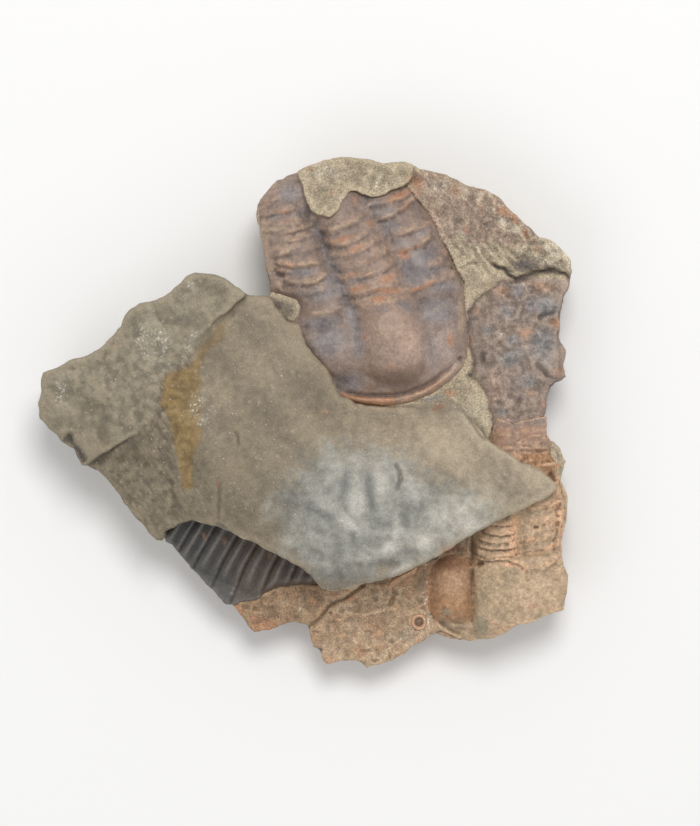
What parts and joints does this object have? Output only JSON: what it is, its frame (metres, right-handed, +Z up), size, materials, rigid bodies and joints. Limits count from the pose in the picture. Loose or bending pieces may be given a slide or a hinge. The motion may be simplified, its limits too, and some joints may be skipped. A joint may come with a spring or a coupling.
{
  "type": "trilobite fossil",
  "caption": "Hand specimen of bedded siltstone with trilobites and small fossil fragments fixed in its upper face, lying on a flat bottom bed.",
  "frame": {"origin": "under the middle of the block's bounding box, on the flat surface it lies on", "axes": "+X along the longer side, +Y from the heads of the upright trilobites towards their tails, +Z up out of the fossil face"},
  "size_m": [0.091, 0.088, 0.0266],
  "materials": {
    "matrix_siltstone": "dull, broken, faintly sparkling siltstone, greenish grey with ochre stain",
    "plum_cast": "smooth dull cast, plum grey with rust in its furrows",
    "rust_cast": "smooth dull cast, rusty buff",
    "slate_cast": "smooth dark cast, slate grey to dark brown"
  },
  "bodies": {
    "root": {"matrix_block": "matrix_siltstone", "trilobite_upper": "plum_cast", "trilobite_lower_right": "rust_cast", "trilobite_lower_left": "slate_cast", "rim_sliver": "rust_cast", "stalk_ossicle": "rust_cast"}
  },
  "joints": []
}
